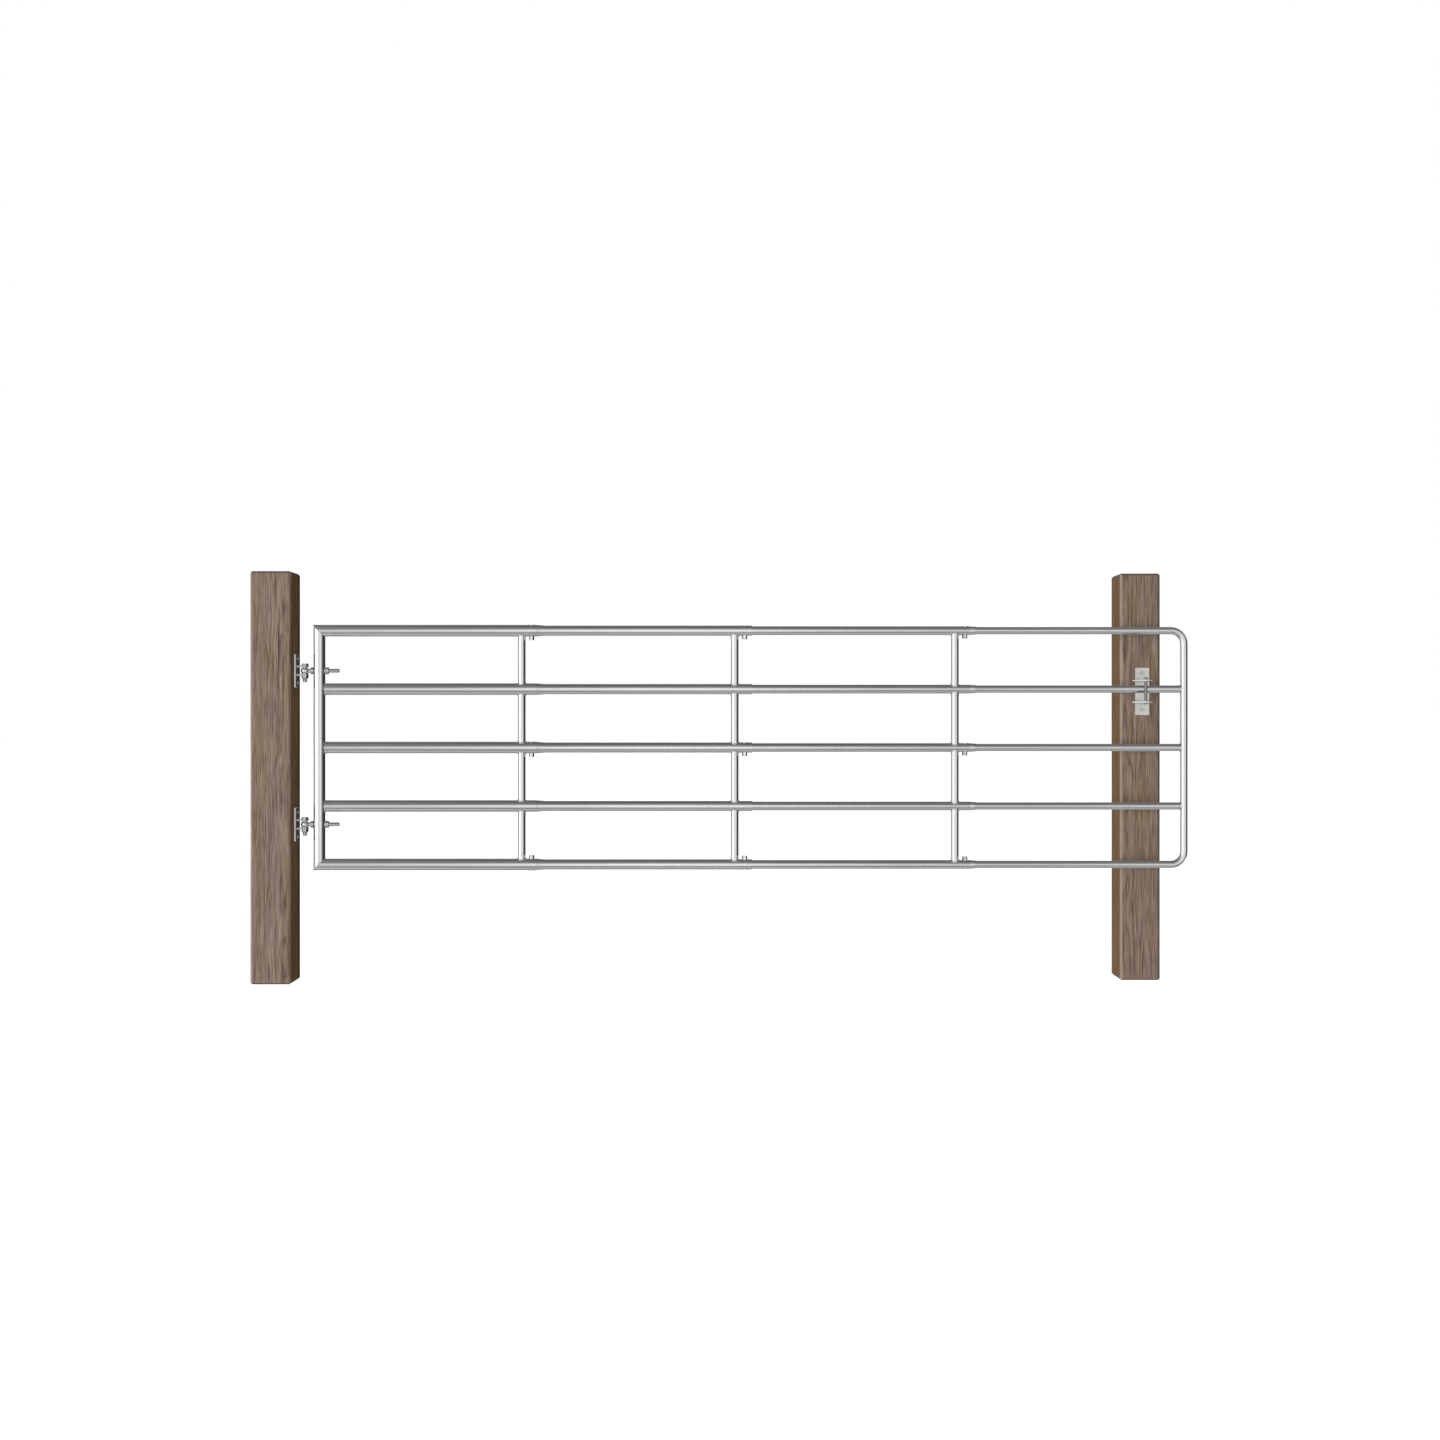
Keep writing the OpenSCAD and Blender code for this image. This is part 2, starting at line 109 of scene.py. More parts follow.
def maths(tree, operation, *values):
    """What a maths node makes of numbers or sockets."""
    return add(tree, "ShaderNodeMath", dict(enumerate(values)), operation=operation).outputs["Value"]


def vector_maths(tree, operation, *values):
    """What a vector maths node makes of vectors or sockets."""
    return add(tree, "ShaderNodeVectorMath", dict(enumerate(values)), operation=operation).outputs["Vector"]


def mix(tree, share, first, second, **settings):
    """A mix of two numbers or colours, by the share of the second."""
    made = add(tree, "ShaderNodeMix", {"Factor": share, "A": first, "B": second}, **settings)
    return made.outputs["Result"]


def noise(tree, place, size, detail):
    """The outputs of a noise whose lumps are about a size across."""
    return add(tree, "ShaderNodeTexNoise", {"Vector": place, "Scale": 1 / size, "Detail": detail}).outputs


def ramp(tree, share, stops):
    """A colour ramp, from pairs of a place from 0 to 1 and a hex colour or a grey level."""
    made = add(tree, "ShaderNodeValToRGB", {"Fac": share})
    elements = made.color_ramp.elements
    while len(elements) < len(stops):
        elements.new(1.0)
    for element, (place, colour) in zip(elements, stops):
        element.position = place
        element.color = linear(colour) if isinstance(colour, str) else (colour, colour, colour, 1.0)
    return made.outputs["Color"]


def new_material(name):
    """A material with a principled shader, its node tree and that shader."""
    material = bpy.data.materials.new(name)
    material.use_nodes = True
    return material, material.node_tree, material.node_tree.nodes["Principled BSDF"]


def make_metal(tree, shader, grey, rough, bumps):
    """Turns a shader into a metal with a grey, a roughness and bumps."""
    tree.links.new(grey, shader.inputs["Base Color"])
    tree.links.new(rough, shader.inputs["Roughness"])
    tree.links.new(bumps.outputs["Normal"], shader.inputs["Normal"])
    shader.inputs["Metallic"].default_value = 1.0


print("a mid grey on the screen is", round(linear("808080")[0], 3), "in linear light")

# %% [markdown]
# ## Hot-dip galvanised steel
# The tubes are dipped whole in molten zinc, which sets in crystals a few millimetres across. Fresh zinc is
# bright, and a few weeks outdoors dull it to a soft grey, where each crystal still catches the light a
# little differently. A noise alone would look like cloudy paint, because crystals have straight borders. So
# cells of a Voronoi pattern stand for them: each has its own grey and leans its own way, and mirrors a
# slightly different part of the sky. A slow noise adds the cloudiness of the dip, and a fine one the
# roughness of the skin. A drawn tube comes from the bath bright and smooth, and a sawn or pressed plate
# comes out dull, so one function makes both kinds.

# %% Galvanised steel
SPANGLE = 7 * MM
WOBBLE = 0.5 * SPANGLE
CLOUD = 90 * MM
SKIN = 1.5 * MM
SKIN_DEPTH = 0.1 * MM
SKIN_STRENGTH = 0.08
CRYSTAL_SHARE = 0.35
PALE_ZINC = ("bcbab6", "cac7c4")
GREY_ZINC = ("a2a19f", "b3b1ae")
SAWN = {"roughs": (0.36, 0.30), "lean": 0.02}


def galvanised_steel(name, greys, roughs, lean):
    """Steel dipped in zinc, with the range of its greys and roughness and how far its crystals lean."""
    material, tree, shader = new_material(name)
    place = add(tree, "ShaderNodeTexCoord").outputs["Object"]
    wobble = noise(tree, place, SPANGLE, 2.0)["Color"]
    shaken = vector_maths(tree, "MULTIPLY_ADD", wobble, (WOBBLE,) * 3, place)
    crystals = add(tree, "ShaderNodeTexVoronoi", {"Vector": shaken, "Scale": 1 / SPANGLE}).outputs
    crystal_grey = add(tree, "ShaderNodeSeparateColor", {"Color": crystals["Color"]}).outputs["Red"]
    mixed = mix(tree, CRYSTAL_SHARE, noise(tree, place, CLOUD, 3.0)["Fac"], crystal_grey)
    from_centre = vector_maths(tree, "SUBTRACT", shaken, crystals["Position"])
    tilt = vector_maths(tree, "SUBTRACT", crystals["Color"], (0.5, 0.5, 0.5))
    facet = add(tree, "ShaderNodeVectorMath", {0: from_centre, 1: tilt}, operation="DOT_PRODUCT")
    facet_height = maths(tree, "MULTIPLY", facet.outputs["Value"], lean)
    facets = add(tree, "ShaderNodeBump", {"Height": facet_height, "Strength": 1.0, "Distance": 1.0})
    skin = noise(tree, place, SKIN, 2.0)["Fac"]
    bumps = add(tree, "ShaderNodeBump", {"Height": skin, "Strength": SKIN_STRENGTH, "Distance": SKIN_DEPTH,
                                         "Normal": facets.outputs["Normal"]})
    make_metal(tree, shader, ramp(tree, mixed, [(0.25, greys[0]), (0.75, greys[1])]),
               ramp(tree, mixed, [(0.2, roughs[0]), (0.8, roughs[1])]), bumps)
    return material


galvanised = galvanised_steel("hot_dip_galvanised_tube", ("c8c8c8", "d0d0d0"), (0.11, 0.08), 0.012)
galvanised_plate = galvanised_steel("hot_dip_galvanised_plate", PALE_ZINC, **SAWN)
galvanised_bracket = galvanised_steel("hot_dip_galvanised_bracket", GREY_ZINC, **SAWN)
latch_plate = galvanised_steel("hot_dip_galvanised_latch_plate", PALE_ZINC, **SAWN)
print("galvanised steel:", len(galvanised.node_tree.nodes), "nodes in each finish")

# %% [markdown]
# ## Painted highlight and painted shade
# Two dull coats go over the zinc. A pale chalky one paints a highlight on the upright front edges of the
# latch ears, and a near-black one paints shade on the hinge plates' faces behind the eyes. Neither is metal,
# so one function covers the faces it is given, and two more choose those faces by where they are and which
# way they look. That is quicker than painting a mask, and it holds when a size in the CAD model changes.

# %% Painted highlight and painted shade
# A pale chalky coat that paints a highlight on the latch ears' edges
HIGHLIGHT_SHARE = 0.9
HIGHLIGHT_CHALK = "f6f6f4"
HIGHLIGHT_ROUGHNESS = 0.85
# A near-black coat that paints shade on the hinge plates behind the eyes
SHADE_SHARE = 0.65
SHADE_BLACK = "24201c"
SHADE_ROUGHNESS = 0.9
# The most that an upright face's normal rises, and the least that an outward one points along +X
UPRIGHT = 0.3
OUTWARD = 0.5


def coat(material, faces, share, cover, roughness):
    """Covers a share of some faces of a metal with a dull layer that isn't metal."""
    tree = material.node_tree
    inputs = tree.nodes["Principled BSDF"].inputs
    covered = maths(tree, "MULTIPLY", faces, share)
    colour = mix(tree, covered, inputs["Base Color"].links[0].from_socket, linear(cover), data_type="RGBA")
    rough = mix(tree, covered, inputs["Roughness"].links[0].from_socket, roughness)
    tree.links.new(colour, inputs["Base Color"])
    tree.links.new(rough, inputs["Roughness"])
    tree.links.new(mix(tree, covered, 1.0, 0.0), inputs["Metallic"])


def place_and_facing(tree):
    """Where a point is on the gate and which way its face looks, each as X, Y and Z."""
    place = add(tree, "ShaderNodeTexCoord").outputs["Object"]
    normal = add(tree, "ShaderNodeNewGeometry").outputs["Normal"]
    return [add(tree, "ShaderNodeSeparateXYZ", {"Vector": vector}).outputs for vector in (place, normal)]


def add_painted_highlight(material, front):
    """A painted highlight: a pale chalky coat on the upright edges that stand in front of the plane Y =
    front.
    """
    tree = material.node_tree
    place, facing = place_and_facing(tree)
    forward = maths(tree, "LESS_THAN", place["Y"], front)
    upright = maths(tree, "LESS_THAN", maths(tree, "ABSOLUTE", facing["Z"]), UPRIGHT)
    coat(material, maths(tree, "MULTIPLY", forward, upright), HIGHLIGHT_SHARE, HIGHLIGHT_CHALK, HIGHLIGHT_ROUGHNESS)


def add_painted_shade(material, reach):
    """Painted shade: a near-black coat on a plate's faces that look along +X and lie short of the plane X =
    reach.
    """
    tree = material.node_tree
    place, facing = place_and_facing(tree)
    near = maths(tree, "LESS_THAN", place["X"], reach)
    outward = maths(tree, "GREATER_THAN", facing["X"], OUTWARD)
    coat(material, maths(tree, "MULTIPLY", near, outward), SHADE_SHARE, SHADE_BLACK, SHADE_ROUGHNESS)


# The pale coat paints a highlight, and the dark coat paints shade
print("bloom covers", HIGHLIGHT_SHARE, "and grime", SHADE_SHARE, "of the faces they settle on")

# %% [markdown]
# ## Zinc plated fixings
# Bolts, nuts and screws are bought in, with a thin plating in place of the thick dip. It is satin, a little
# darker than the tubes, and has faint marks from the spanner and from the barrel it was plated in. Each mark
# could be drawn, but they are too small to tell apart, so two noises do: one shifts the grey and the
# roughness together, and a finer one presses small pits. The drop pin is plated too, but it is lifted and
# dropped every day, so its bright skin is worn away and it is the dullest.

# %% Zinc plated steel
SCUFF = 3 * MM
# Real pits are finer, and are drawn coarser so that they show from close by
PIT = 0.8 * MM
PIT_DEPTH = 0.1 * MM
PIT_STRENGTH = 0.1


def satin_steel(name, greys, roughs):
    """Satin steel with spanner marks and small pits."""
    material, tree, shader = new_material(name)
    place = add(tree, "ShaderNodeTexCoord").outputs["Object"]
    scuffs = noise(tree, place, SCUFF, 4.0)["Fac"]
    pits = noise(tree, place, PIT, 1.0)["Fac"]
    bumps = add(tree, "ShaderNodeBump", {"Height": pits, "Strength": PIT_STRENGTH, "Distance": PIT_DEPTH})
    make_metal(tree, shader, ramp(tree, scuffs, [(0.3, greys[0]), (0.7, greys[1])]),
               ramp(tree, scuffs, [(0.3, roughs[0]), (0.7, roughs[1])]), bumps)
    return material


plated = satin_steel("zinc_plated_steel", ("a2a2a1", "bcbcbb"), (0.27, 0.19))
plated_thread = satin_steel("zinc_plated_thread", ("868685", "9e9e9d"), (0.34, 0.26))
pin_steel = satin_steel("worn_steel_pin", ("7d7c7a", "929190"), (0.50, 0.40))
print("zinc plate:", len(plated.node_tree.nodes), "nodes in each finish")

# %% [markdown]
# ## Weathered softwood
# Each post is one length of softwood sawn with the heart of the tree inside it. The growth rings circle the
# heart, so they show as rings on the ends, as upright streaks near a face's edges, and as long arches in its
# middle, where the wandering heart comes near. A pattern of the distance to the heart gives all three at
# once, which a flat picture of wood wouldn't. The faces that look along Y are grey, and the ones that look
# along X are darker and browner. Three attributes of the posts' meshes say where painted shade darkens the
# inside of a drying check, where a painted highlight lightens the front left edge and where painted shade
# darkens the wood nearly black, near the ends and along some edges.

# %% Timber
RING = 4.5 * MM
RING_DRIFT = 5 * MM
HEART_WANDER = 30 * MM
WANDER_LENGTH = 420 * MM
# A real fibre is a fraction of a millimetre wide, and is drawn as coarse as it needs to be to show
FIBRE = (3 * MM, 3 * MM, 70 * MM)
STREAK = (9 * MM, 9 * MM, 130 * MM)
TINT = (34 * MM, 34 * MM, 380 * MM)
RING_SHADES = [(0.0, 0.55), (0.12, 1.0), (0.55, 0.85), (0.88, 0.12), (1.0, 0.55)]
RING_SHARE = 0.14
TONE_STOPS = (0.36, 0.52, 0.68)
SIDE_FROM, SIDE_TO = 0.78, 0.92
WARMTH = [(0.32, "f7eef3"), (0.5, "ffffff"), (0.66, "f2f0d2")]
WARMTH_SHARE = 0.8
# Painted marks with their strength and colour: a pale painted highlight on an edge, near-black painted shade
# on edges and ends, and dark painted shade inside the checks
MARKS = (("painted_edge_highlight", 0.45, "cbb9a6"), ("painted_edge_shade", 1.0, "22150b"), ("check", 1.0, "2a2019"))
GRAIN_DEPTH = 0.7 * MM
GRAIN_STRENGTH = 0.5
WOOD_ROUGHNESS = 0.86


def softwood(name, heart, along, front, side):
    """Softwood with rings round an upright line through heart, greys in front and browns at the sides."""
    material, tree, shader = new_material(name)
    place = add(tree, "ShaderNodeTexCoord").outputs["Object"]
    shifted = add(tree, "ShaderNodeMapping", {"Vector": place, "Location": (-heart[0], -heart[1], along)})
    local = shifted.outputs["Vector"]
    stretches = {}
    for label, lump, detail, distortion in (("fibre", FIBRE, 4.0, 0.2), ("streak", STREAK, 3.0, 0.6),
                                            ("tint", TINT, 2.0, 0.8)):
        scaled = add(tree, "ShaderNodeMapping", {"Vector": local, "Scale": [1 / size for size in lump]})
        stretched = add(tree, "ShaderNodeTexNoise", {"Vector": scaled.outputs["Vector"], "Scale": 1.0,
                                                     "Detail": detail, "Distortion": distortion})
        stretches[label] = stretched.outputs["Fac"]
    height = add(tree, "ShaderNodeMapping", {"Vector": local, "Scale": (0.0, 0.0, 1 / WANDER_LENGTH)})
    wander = noise(tree, height.outputs["Vector"], 1.0, 2.0)["Color"]
    drawn = vector_maths(tree, "SUBTRACT", wander, (0.5, 0.5, 0.5))
    moved = vector_maths(tree, "MULTIPLY_ADD", drawn, (HEART_WANDER, HEART_WANDER, 0), local)
    flat = vector_maths(tree, "MULTIPLY", moved, (1, 1, 0))
    reach = add(tree, "ShaderNodeVectorMath", {0: flat}, operation="LENGTH").outputs["Value"]
    drifted = maths(tree, "MULTIPLY_ADD", stretches["tint"], 2 * RING_DRIFT, reach)
    season = maths(tree, "FRACT", maths(tree, "DIVIDE", drifted, RING))
    grain = mix(tree, 0.5, stretches["streak"], stretches["fibre"])
    shade = mix(tree, RING_SHARE, grain, ramp(tree, season, RING_SHADES))
    # Faces that look along Y are grey, and faces that look along X are darker and browner
    grey_wood, brown_wood = [ramp(tree, shade, list(zip(TONE_STOPS, tones))) for tones in (front, side)]
    normal = add(tree, "ShaderNodeNewGeometry").outputs["Normal"]
    sideways = maths(tree, "ABSOLUTE", add(tree, "ShaderNodeSeparateXYZ", {"Vector": normal}).outputs["X"])
    side_facing = add(tree, "ShaderNodeMapRange", {"Value": sideways, "From Min": SIDE_FROM,
                                                 "From Max": SIDE_TO}).outputs["Result"]
    skin = mix(tree, side_facing, grey_wood, brown_wood, data_type="RGBA")
    # Warm and cool patches, where the resin or the rain has tinted the face
    warmth = ramp(tree, stretches["tint"], WARMTH)
    marked = mix(tree, WARMTH_SHARE, skin, warmth, data_type="RGBA", blend_type="MULTIPLY")
    for label, strength, colour in MARKS:
        mark = add(tree, "ShaderNodeAttribute", attribute_name=label).outputs["Fac"]
        marked = mix(tree, maths(tree, "MULTIPLY", mark, strength), marked, linear(colour), data_type="RGBA")
    bumps = add(tree, "ShaderNodeBump", {"Height": grain, "Strength": GRAIN_STRENGTH,
                                         "Distance": GRAIN_DEPTH})
    tree.links.new(marked, shader.inputs["Base Color"])
    tree.links.new(bumps.outputs["Normal"], shader.inputs["Normal"])
    shader.inputs["Roughness"].default_value = WOOD_ROUGHNESS
    return material


def box_of(node):
    """A solid's lowest and highest corners."""
    low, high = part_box(node)
    return Vector(low), Vector(high)


def middle(node):
    """The middle of a solid's box."""
    low, high = box_of(node)
    return (low + high) / 2


GREY_WOOD = {"hinge_post": ("5f4f46", "907a6d", "b09a8b"), "latch_post": ("5c4c41", "897466", "a79284")}
BROWN_WOOD = {"hinge_post": ("442e18", "775834", "9f7c4a"), "latch_post": ("563d23", "7e5f3a", "9b7848")}
# How far the tree's heart lies from the post's middle, along X and Y
HEART_ASIDE = {"hinge_post": (0.052, 0.040), "latch_post": (-0.060, 0.034)}
# The posts take their grain from places this far apart along the tree, so they don't match
TREE_APART = 3.0

softwoods = {}
for number, (post, (aside, back)) in enumerate(HEART_ASIDE.items()):
    at = middle(post)
    softwoods[post] = softwood("weathered_softwood_" + post, (at.x + aside, at.y + back),
                               TREE_APART * number, GREY_WOOD[post], BROWN_WOOD[post])
print("softwoods:", sorted(softwoods))

# %% [markdown]
# ## Pieces grown by geometry nodes
# Several details repeat or follow a path: relief over a post's skin, beads of weld round every joint,
# turns of thread along a bolt. Each is a small geometry node tree with named sizes. A helper makes the empty
# tree, and another runs it on a mesh, keeps the result as one plain mesh and lets it ride on a body.


# %% Helpers for geometry
def new_tree(name, sizes):
    """An empty geometry tree with named inputs, its group input's outputs and its final socket."""
    tree = bpy.data.node_groups.new(name, "GeometryNodeTree")
    tree.interface.new_socket("Geometry", in_out="INPUT", socket_type="NodeSocketGeometry")
    for label, kind in sizes.items():
        tree.interface.new_socket(label, in_out="INPUT", socket_type="NodeSocket" + kind)
    tree.interface.new_socket("Geometry", in_out="OUTPUT", socket_type="NodeSocketGeometry")
    return tree, add(tree, "NodeGroupInput").outputs, add(tree, "NodeGroupOutput").inputs["Geometry"]


def finish_tree(tree, geometry, material, end):
    """Ends a tree with real geometry, smooth faces and a material."""
    real = add(tree, "GeometryNodeRealizeInstances", {"Geometry": geometry}).outputs["Geometry"]
    smooth = add(tree, "GeometryNodeSetShadeSmooth", {"Geometry": real}).outputs["Geometry"]
    dressed = add(tree, "GeometryNodeSetMaterial", {"Geometry": smooth, "Material": material})
    tree.links.new(dressed.outputs["Geometry"], end)


def grow(name, mesh, tree, sizes, body):
    """Runs a geometry tree on a mesh and keeps what it makes as one piece on a body."""
    source = bpy.data.objects.new(name + "_source", mesh)
    bpy.context.scene.collection.objects.link(source)
    modifier = source.modifiers.new("grow", "NODES")
    modifier.node_group = tree
    for item in tree.interface.items_tree:
        if item.in_out == "INPUT" and item.name in sizes:
            modifier[item.identifier] = sizes[item.name]
    source.update_tag()
    evaluated = source.evaluated_get(bpy.context.evaluated_depsgraph_get())
    grown = bpy.data.meshes.new_from_object(evaluated)
    source.modifiers.remove(modifier)
    bpy.data.objects.remove(source)
    piece = bpy.data.objects.new(name, grown)
    bpy.context.scene.collection.objects.link(piece)
    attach(piece, body)
    print(name, len(grown.loop_triangles) or sum(len(p.vertices) - 2 for p in grown.polygons), "triangles")
    return piece


# %% [markdown]
# ## The posts
# A sawn post isn't a perfect box: the grain stands out and sinks by under a millimetre, its edges are eased,
# and long thin checks open as it dries. Bump in the material could fake most of that, but the outline would
# stay as straight as a ruler, so it is made in the mesh. The skin is a fine net of columns and rows round
# the CAD box. The mesh code leaves the checks in it as narrow grooves, and the geometry tree presses the
# rest in by a noise that is stretched along the grain. Nothing stands out past the CAD box, so plates still
# sit flat on it.

# %% The post's skin
ARRIS = 7 * MM
ARRIS_COLUMNS = 3
COLUMNS = 54
SIDE_COLUMNS = COLUMNS + ARRIS_COLUMNS
ROW = 10 * MM
END_ROWS = 4
LEAST_EDGE = 0.6 * MM
CAP_RINGS = (0.03, 0.14, 0.28, 0.42, 0.56, 0.70, 0.84)
# A row runs along the front, the right side, the back and the left side, with the wood to its left
ACROSS = ((1, 0), (0, 1), (-1, 0), (0, -1))
INWARD = ((0, 1), (-1, 0), (0, -1), (1, 0))
# The fewest and most checks on a side, then the least and most of a check's start, length, depth and sway
CHECKS = (3, 5)
CHECK_MARGIN = 5
CHECK_START = (0.03, 1.2)
CHECK_LENGTH = (0.12, 0.42)
CHECK_END_GAP = 0.03
CHECK_DEPTH_MM = (1.5, 3.5)
CHECK_SWAY_MM = (0.5, 1.6)
CHECK_SWAY_PACE = 14
CHECK_TAPER = 0.6
CHECK_HALF_W = 0.7 * MM
# Painted shade, nearly black: a band at both ends, and a strip by an edge of a side, as strong as given
# below for each side in the order of ACROSS
END_SHADE = 0.7
END_SHADE_H = 4 * MM
EDGE_SHADE_COLUMNS = 11
EDGE_SHADE_FADE = 3
EDGE_SHADES = {"hinge_post": (0.0, 0.95, 0.0, 0.0), "latch_post": (0.35, 0.0, 0.0, 0.0)}


def post_row(half_side, from_end):
    """The outline of a post at a distance from its nearer end, as points round it."""
    side = min(half_side, half_side - ARRIS + from_end)
    cut = max(LEAST_EDGE, 2 * side - 2 * half_side + ARRIS)
    first = [(-(side - cut) + 2 * (side - cut) * i / COLUMNS, -side) for i in range(COLUMNS)]
    steps = [cut * i / ARRIS_COLUMNS for i in range(ARRIS_COLUMNS)]
    first += [(side - cut + step, -side + step) for step in steps]
    points = []
    for _ in range(4):
        points += first
        first = [(-y, x) for x, y in first]
    return points


def edge_shade_at(quarter, column, from_end, edge_shades):
    """How much painted shade darkens a point, by its side, its column there and its distance from the post's
    nearer end.
    """
    inside = (EDGE_SHADE_COLUMNS if quarter else EDGE_SHADE_FADE) - max(0, COLUMNS - column)
    if quarter and column > COLUMNS:
        inside = 0
    down_the_edge = edge_shades[quarter] * max(0.0, min(1.0, inside / EDGE_SHADE_FADE))
    return max(END_SHADE if from_end < END_SHADE_H else 0.0, down_the_edge)


def open_checks(draw, quarter, half_side, heights, rings, opening):
    """Presses a few narrow checks into one side's rows, and notes how far each point is open."""
    across, inward = ACROSS[quarter], INWARD[quarter]
    spacing = 2 * (half_side - ARRIS) / COLUMNS
    for _ in range(draw.randint(*CHECKS)):
        column = quarter * SIDE_COLUMNS + draw.randint(CHECK_MARGIN, COLUMNS - CHECK_MARGIN - 1)
        start, length = draw.uniform(*CHECK_START), draw.uniform(*CHECK_LENGTH)
        deepest, sway = draw.uniform(*CHECK_DEPTH_MM) * MM, draw.uniform(*CHECK_SWAY_MM) * MM
        phase = draw.uniform(0, 6)
        for h, ring, opened_row in zip(heights, rings, opening):
            if not start < h < min(start + length, heights[-1] - CHECK_END_GAP):
                continue
            opened = math.sin(math.pi * (h - start) / length) ** CHECK_TAPER
            aside = sway * math.sin(phase + h * CHECK_SWAY_PACE) * opened
            for step in (-1, 0, 1):
                shift = aside - step * (spacing - CHECK_HALF_W) * opened
                ring[column + step][0] += across[0] * shift
                ring[column + step][1] += across[1] * shift
            ring[column][0] += inward[0] * deepest * opened
            ring[column][1] += inward[1] * deepest * opened
            opened_row[column] = opened


def post_skin(node, seed, edge_shades):
    """A post's closed net of faces with narrow checks, marked where it is checked and where painted
    highlight and painted shade go.
    """
    draw = random.Random(seed)
    low, high = box_of(node)
    centre, half_side, tall = (low + high) / 2, (high.x - low.x) / 2, high.z - low.z
    ends = [ARRIS * i / END_ROWS for i in range(END_ROWS + 1)]
    rows = round((tall - 2 * ARRIS) / ROW)
    heights = ends + [ARRIS + (tall - 2 * ARRIS) * i / rows for i in range(1, rows)]
    heights += [tall - h for h in reversed(ends)]
    from_end = [min(h, tall - h) for h in heights]
    around = 4 * SIDE_COLUMNS
    rings = [[list(point) for point in post_row(half_side, near)] for near in from_end]
    checks = [[0.0] * around for _ in heights]
    for quarter in range(4):
        open_checks(draw, quarter, half_side, heights, rings, checks)
    # A painted highlight goes only on the front left edge, where a row ends and starts
    painted_edge_highlight = [[float(j == 0 or j >= around - ARRIS_COLUMNS) for j in range(around)]] * len(heights)
    # Painted shade near the ends and along the edges given for this post
    painted_edge_shade = [[edge_shade_at(*divmod(j, SIDE_COLUMNS), near, edge_shades) for j in range(around)] for near in from_end]
    points = [(centre.x + x, centre.y + y, low.z + h) for h, ring in zip(heights, rings) for x, y in ring]
    faces = []
    for k in range(len(heights) - 1):
        for j in range(around):
            a, b = k * around + j, k * around + (j + 1) % around
            faces.append((a, b, b + around, a + around))
    for row, order in ((0, -1), (len(heights) - 1, 1)):
        outer, z = row * around, low.z + heights[row]
        for inset in CAP_RINGS:
            inner = len(points)
            points += [(centre.x + x * (1 - inset), centre.y + y * (1 - inset), z) for x, y in rings[row]]
            for j in range(around):
                following = (j + 1) % around
                faces.append((outer + j, outer + following, inner + following, inner + j)[::order])
            outer = inner
        points.append((centre.x, centre.y, z))
        faces += [(outer + j, outer + (j + 1) % around, len(points) - 1)[::order] for j in range(around)]
    mesh = bpy.data.meshes.new(node + "_skin")
    mesh.from_pydata(points, [], faces)
    for label, marks in (("check", checks), ("painted_edge_highlight", painted_edge_highlight), ("painted_edge_shade", painted_edge_shade)):
        values = [value for row in marks for value in row]
        values += [0.0] * (len(points) - len(values))
        mesh.attributes.new(label, "FLOAT", "POINT").data.foreach_set("value", values)
    return mesh


print("columns round a post:", 4 * SIDE_COLUMNS)

# %% Relief of the grain
RELIEF = 0.8 * MM
GRAIN_WIDTH = 9 * MM
GRAIN_LENGTH = 260 * MM
SKIN_SEED = 11
RELIEF_SEED = 7.0

relief, given, end = new_tree("grain_relief", {"Depth": "Float", "Grain width": "Float",
                                               "Grain length": "Float", "Seed": "Float", "Wood": "Material"})
wide, long = [maths(relief, "DIVIDE", 1.0, given[label]) for label in ("Grain width", "Grain length")]
stretch = add(relief, "ShaderNodeCombineXYZ", {"X": wide, "Y": wide, "Z": long}).outputs["Vector"]
at = vector_maths(relief, "MULTIPLY", add(relief, "GeometryNodeInputPosition").outputs["Position"], stretch)
grain = add(relief, "ShaderNodeTexNoise", {"Vector": at, "W": given["Seed"], "Scale": 1.0, "Detail": 3.0},
            noise_dimensions="4D").outputs["Fac"]
inwards = maths(relief, "MULTIPLY", maths(relief, "MULTIPLY", grain, given["Depth"]), -1.0)
offset = add(relief, "ShaderNodeVectorMath", {0: add(relief, "GeometryNodeInputNormal").outputs["Normal"],
                                              "Scale": inwards}, operation="SCALE").outputs["Vector"]
sunk = add(relief, "GeometryNodeSetPosition", {"Geometry": given["Geometry"], "Offset": offset})
finish_tree(relief, sunk.outputs["Geometry"], given["Wood"], end)

for number, post in enumerate(softwoods):
    sizes = {"Depth": RELIEF, "Grain width": GRAIN_WIDTH, "Grain length": GRAIN_LENGTH,
             "Seed": RELIEF_SEED + 4 * number, "Wood": softwoods[post]}
    skin = post_skin(post, SKIN_SEED + number, EDGE_SHADES[post])
    timber_post = grow("weathered_" + post, skin, relief, sizes, "posts")
    timber_post.visible_glossy = False
    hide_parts(post)

# %% [markdown]
# ## Welds
# The tubes are joined before the dip, so every bead of weld wears the same zinc. A bead runs where two
# surfaces meet: round a brace it follows the saddle where one cylinder lands on another, round the corners
# of the first section a sloping ellipse, round a nut its six flats, and along an ear a straight line. About
# fifty beads are too many to draw by hand, but their curves are known exactly. So the code works out the
# points, and one geometry tree sweeps a small circle along them, swelling and shrinking as the welder's
# hand did.

# %% Places taken from the solids
LEVELS = ["top_rail", "rail_2", "rail_3", "rail_4", "bottom_rail"]
BRACED = ["first", "second", "third"]

